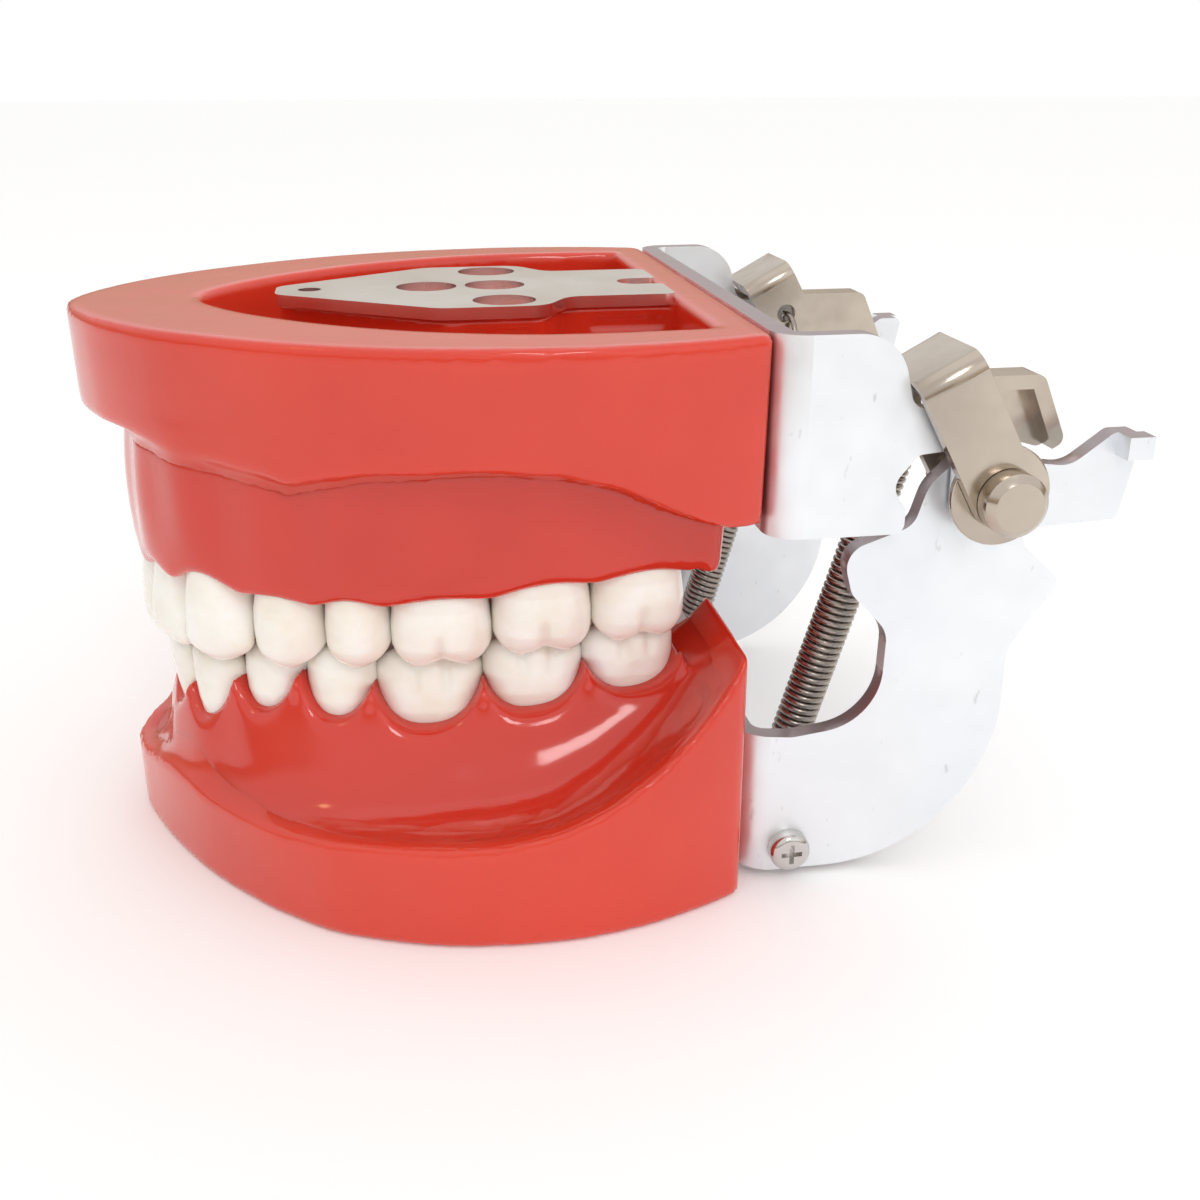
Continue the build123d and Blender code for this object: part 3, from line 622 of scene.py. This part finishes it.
def tooth_field(x, y, z, width, depth, height, kind):
    """A crown about its own axis: x toward the back of the mouth, y outward, z to the tip."""
    share = z / height
    half = width / 2 * np.interp(share, STEPS, kind.width)
    face = depth / 2 * np.interp(share, STEPS, kind.face)
    tongue = -depth / 2 * np.interp(share, STEPS, kind.tongue)
    middle, reach = (face + tongue) / 2, (face - tongue) / 2
    # The tongue half narrows, as neighbouring crowns stand fanned round the arch.
    narrow = 1 - kind.fan * smooth_step(-y / depth, -0.2, 0.5)
    radius = ((np.abs(x) / (half * narrow)) ** kind.squareness
              + (np.abs(y - middle) / reach) ** kind.squareness) ** (1 / kind.squareness)
    wall = (radius - 1) * np.minimum(half, reach)
    for groove in kind.grooves:
        cut = bell(x - groove * width / 2, 0.55) * smooth_step(y / depth, 0.1, 0.4)
        wall = wall + 0.55 * cut * smooth_step(share, 0.35, 0.8)
    if kind is KINDS["incisor"]:
        hollow = bell(x / width * 2, 0.5) * smooth_step(-y, -0.5, 0.8)
        wall = wall + 0.25 * hollow * smooth_step(share, 0.3, 0.6)
    bite = bite_height(x, y, width, depth, height, kind)
    field = smooth_max(wall, (z - bite) * 0.8, 0.9)
    return smooth_max(field, -z - ROOT_SHOWN + 0 * field, 1.0)


def make_teeth(arch):
    way = -arch.to_base
    for index, name in enumerate(arch.kinds):
        start, end = np.array(arch.contacts[index], float), np.array(arch.contacts[index + 1], float)
        width = np.linalg.norm(end - start)
        tangent = (end - start) / width
        outward = np.array([tangent[1], -tangent[0]])
        depth = arch.depth[index]
        neck = arch.margin[index] - way * NECK_OVERLAP
        height = abs(arch.tip[index] - neck)
        low = (-width / 2 - 1, -depth / 2 - 1, -ROOT_SHOWN - 1)
        high = (width / 2 + 1, depth / 2 + 1, height + 1.2)
        field = tooth_field(*grid(low, high, TOOTH_STEP), width, depth, height, KINDS[name])
        points, quads = surface(field, low, TOOTH_STEP)
        centre = (start + end) / 2 + outward * (arch.proud[index] - depth / 2)
        place = np.empty_like(points)
        place[:, :2] = centre + points[:, :1] * tangent + points[:, 1:2] * outward
        place[:, 2] = neck + way * points[:, 2]
        for mirror, quadrant in zip((1, -1), arch.quadrants):
            node = f"tooth_{quadrant}{index + 1}"
            mesh_piece(f"{node}_crown", place * (mirror, 1, 1), quads, TOOTH, "tooth_enamel", node,
                       arch.body)


# ---------------------------------------------------------------- springs
WIRE_R, COIL_R = 0.35, 1.83
COIL_SHARE = 0.72            # share of the coils in the first run of wire
END_GAP = 3.8                # from the anchor or the hook to the nearest coil
ANCHOR_R, EYE_CLEARANCE = 1.25, 0.12
PIN_Y, PIN_Z = UPPER_BACK + 22.25, 42.1
ANCHOR = np.array([20.8, LOWER_BACK + 5.7, 3.4])
HOOK_X, HOOK_REACH, LEVER_LEAN = 24.1, 8.7, math.radians(28.8)
HOOK = np.array([HOOK_X, PIN_Y - HOOK_REACH * math.sin(LEVER_LEAN),
                 PIN_Z + HOOK_REACH * math.cos(LEVER_LEAN)])


def tube(path, radius, sides=8):
    """Points and faces of a round wire along a path."""
    tangent = np.gradient(path, axis=0)
    tangent /= np.linalg.norm(tangent, axis=1)[:, None]
    side = np.cross(tangent[0], (1.0, 0.3, 0.2))
    points = []
    for place, t in zip(path, tangent):
        side = side - t * side.dot(t)
        side /= np.linalg.norm(side)
        up = np.cross(t, side)
        points += [place + radius * (math.cos(a) * side + math.sin(a) * up)
                   for a in np.linspace(0, 2 * math.pi, sides, endpoint=False)]
    faces = []
    for ring in range(len(path) - 1):
        for k in range(sides):
            a, b = ring * sides + k, ring * sides + (k + 1) % sides
            faces.append((a, b, b + sides, a + sides))
    last = (len(path) - 1) * sides
    faces += [tuple(range(sides)), tuple(range(last, last + sides))]
    return points, faces


def spring_runs():
    """The wire in two runs: the eye round the anchor and most coils, then the rest and the hook."""
    top = np.array([ANCHOR[0], HOOK[1], HOOK[2]])
    run = np.linalg.norm(top - ANCHOR)
    axis = (top - ANCHOR) / run
    first = np.cross(axis, (1.0, 0, 0))
    first /= np.linalg.norm(first)
    second = np.cross(axis, first)
    eye_r = ANCHOR_R + WIRE_R + EYE_CLEARANCE
    eye = [ANCHOR + eye_r * (math.cos(a) * axis + math.sin(a) * first)
           for a in np.linspace(0.42 * math.pi, -1.35 * math.pi, 26)]
    coil = []
    length = run - 2 * END_GAP
    turns = int(length / (2 * WIRE_R * 1.04))
    for t in np.linspace(0, 1, turns * 16):
        a = t * turns * 2 * math.pi
        ring = math.cos(a) * first + math.sin(a) * second
        coil.append(ANCHOR + axis * (END_GAP + length * t) + COIL_R * ring)
    end = coil[-1]
    hook = [end + (HOOK - end) * t + axis * 1.2 * math.sin(t * math.pi) for t in np.linspace(0.15, 1, 10)]
    hook += [HOOK + np.array([0.9, 0.1, -0.5]), HOOK + np.array([1.2, 0.1, -1.4])]
    cut = int(len(coil) * COIL_SHARE)
    return np.array(eye + coil[:cut + 1]), np.array(coil[cut:] + hook)


def make_spring(way, side):
    """The spring's wire as two pieces, the coils and the hooked end, made in place of the CAD spring;
    neither rides on a body.
    """
    coils, hook = [run * (way, 1, 1) for run in spring_runs()]
    for name, run, first, second, start, end in (
            ("coil", coils, LOWER, UPPER, ANCHOR * (way, 1, 1), coils[-1]),
            ("hook", hook, UPPER, f"lever_{side}", hook[0], HOOK * (way, 1, 1))):
        piece = mesh_piece(f"spring_{side}_{name}", *tube(run, WIRE_R), WIRE, "spring_steel",
                           f"spring_{side}")
        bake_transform(piece)


# ---------------------------------------------------------------- CAD parts that stay
CAD_PARTS = [
    (ALUMINIUM, ["upper_frame", "lower_frame"]),
    (NICKEL, ["lever_left", "lever_right", "hinge_pin_left", "hinge_pin_right", "hinge_pin_clips",
              "hinge_washers"]),
    (SCREW, ["upper_frame_screws", "lower_frame_screws", "spring_anchor_screws"]),
    (BRASS, ["upper_tooth_screws", "lower_tooth_screws"]),
    (STEEL, ["upper_mount_plate", "lower_mount_plate"]),
]
EDGE_BEVEL = 0.18


def dress(piece, material):
    """Gives a CAD part its material, and rounds its edges slightly unless it is a thin plate."""
    for holder in piece.material_slots:
        holder.material = material
    if material is STEEL:
        return
    weld = piece.modifiers.new("weld", "WELD")
    weld.merge_threshold = 0.01 * MM
    edges = piece.modifiers.new("edges", "BEVEL")
    edges.width = EDGE_BEVEL * MM
    edges.segments = 2
    edges.limit_method = "ANGLE"
    edges.angle_limit = math.radians(35)


# ---------------------------------------------------------------- floor, light and camera
WHITE = (1.0, 1.0, 1.0)
LIT_POINT = (0, -0.01, 0.03)
# Name, place in metres, size, power and colour.
LIGHTS = [
    ("key", (0.42, 0.02, 0.42), 0.12, 0.32, WHITE),
    ("fill", (0.45, 0.30, 0.25), 0.4, 0.12, WHITE),
    ("top", (-0.05, 0.0, 0.6), 0.5, 0.15, WHITE),
    ("warm", (0.10, -0.30, 0.40), 0.05, 0.05, (1.0, 0.66, 0.30)),
]
CAMERA_PLACE, CAMERA_LENS = (0.147, -0.0213, 0.0804), 40.5
CAMERA_AZIMUTH, CAMERA_ELEVATION = math.radians(80.2), math.radians(21.8)


def make_floor():
    """A pale floor that shines faintly, so that it runs into the white studio."""
    bpy.ops.mesh.primitive_plane_add(size=6, location=(0, 0, 0))
    floor = bpy.context.object
    floor.name = "floor"
    material, _, shader = new_material("pale_floor", (0.97, 0.97, 0.97), 0.75)
    set_values(shader, {"Emission Color": (*WHITE, 1), "Emission Strength": 0.09})
    floor.data.materials.append(material)


def area_light(name, place, size, power, color):
    data = bpy.data.lights.new(name, "AREA")
    data.size = size
    data.energy = power
    data.color = color
    light = bpy.data.objects.new(name, data)
    light.location = place
    light.rotation_euler = (Vector(LIT_POINT) - Vector(place)).to_track_quat("-Z", "Y").to_euler()
    bpy.context.scene.collection.objects.link(light)


def make_world():
    """A white studio: it shines more from behind the part, and reflections see a darker, warmer
    band near the floor."""
    world = bpy.data.worlds.new("studio")
    world.use_nodes = True
    tree = world.node_tree
    place = tree.nodes.new("ShaderNodeTexCoord")
    split = tree.nodes.new("ShaderNodeSeparateXYZ")
    tree.links.new(place.outputs["Generated"], split.inputs[0])
    ray = tree.nodes.new("ShaderNodeLightPath")
    light = ramp(tree, remap(tree, split.outputs["Y"], -1.0, 1.0, 0.0, 1.0),
                 [(0.0, (0.62, 0.60, 0.58)), (0.55, WHITE), (1.0, (1.04, 1.04, 1.04))])
    mirror = ramp(tree, split.outputs["Z"], [(0.0, (0.36, 0.29, 0.24)), (0.12, (0.52, 0.42, 0.30)),
                                             (0.32, (0.95, 0.95, 0.95)), (1.0, WHITE)])
    room = mix_color(tree, ray.outputs["Is Glossy Ray"], light, mirror)
    room = mix_color(tree, ray.outputs["Is Camera Ray"], room, WHITE)
    tree.links.new(room, tree.nodes["Background"].inputs["Color"])
    tree.nodes["Background"].inputs["Strength"].default_value = 1.0
    bpy.context.scene.world = world


def make_camera():
    data = bpy.data.cameras.new("camera")
    data.lens = CAMERA_LENS
    data.sensor_width = 36
    data.clip_start = 0.01
    camera = bpy.data.objects.new("camera", data)
    camera.location = CAMERA_PLACE
    look = Vector((-math.sin(CAMERA_AZIMUTH) * math.cos(CAMERA_ELEVATION),
                   math.cos(CAMERA_AZIMUTH) * math.cos(CAMERA_ELEVATION), -math.sin(CAMERA_ELEVATION)))
    camera.rotation_mode = "QUATERNION"
    camera.rotation_quaternion = look.to_track_quat("-Z", "Y")
    bpy.context.scene.collection.objects.link(camera)
    bpy.context.scene.camera = camera


make_upper_jaw()
make_lower_jaw()
make_teeth(UPPER_ARCH)
make_teeth(LOWER_ARCH)
make_spring(1, "left")
make_spring(-1, "right")
for part_material, nodes in CAD_PARTS:
    for node in nodes:
        dress(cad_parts[node], part_material)

# Plain display colours keep the studio white and the resin red.
bpy.context.scene.view_settings.view_transform = "Standard"
make_floor()
make_world()
for light in LIGHTS:
    area_light(*light)
make_camera()
